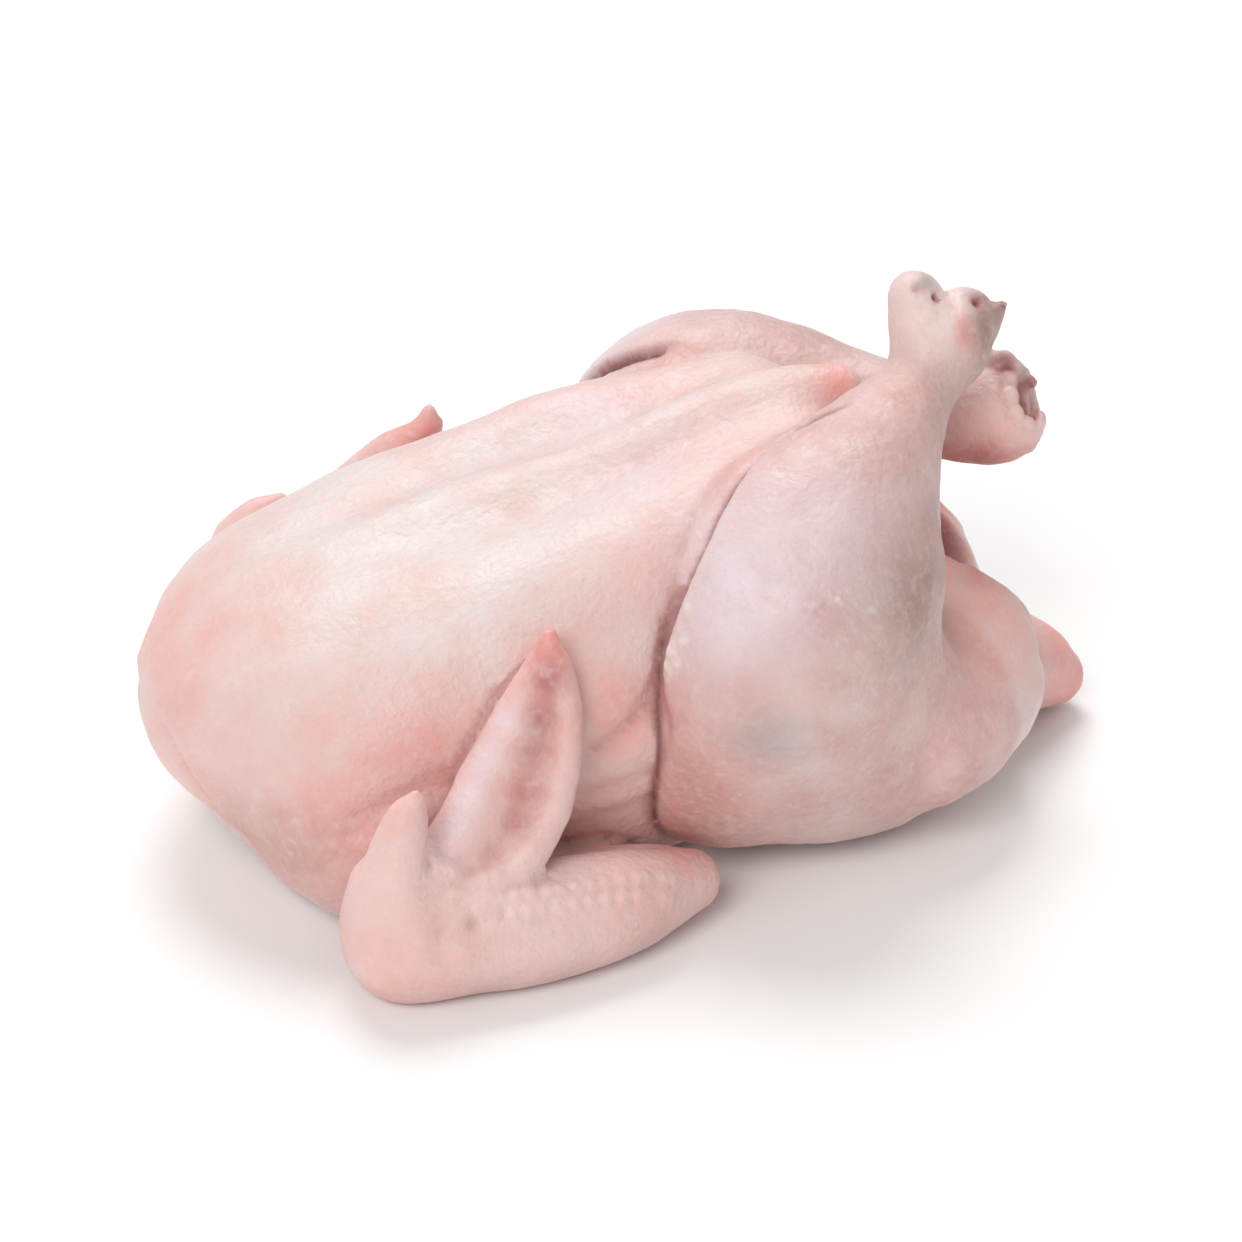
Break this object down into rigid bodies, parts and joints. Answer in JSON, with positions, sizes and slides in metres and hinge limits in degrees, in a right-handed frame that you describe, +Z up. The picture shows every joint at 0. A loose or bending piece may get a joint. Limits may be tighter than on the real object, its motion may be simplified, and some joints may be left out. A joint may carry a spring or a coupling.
{
  "type": "whole raw chicken",
  "caption": "Whole plucked raw chicken lying on its back, breast up, with wings folded at its sides, bent legs crossed over the vent, and a short tail.",
  "frame": {"origin": "on the flat spot of the bird's back that it rests on, on its middle plane and under the middle of the body", "axes": "+Z up from the back to the breast, +X along the bird towards the tail, -X towards the neck, -Y towards the bird's right side"},
  "size_m": [0.2749, 0.2075, 0.1501],
  "materials": {
    "skin": "satin"
  },
  "bodies": {
    "root": {"chicken": "skin"}
  },
  "joints": []
}
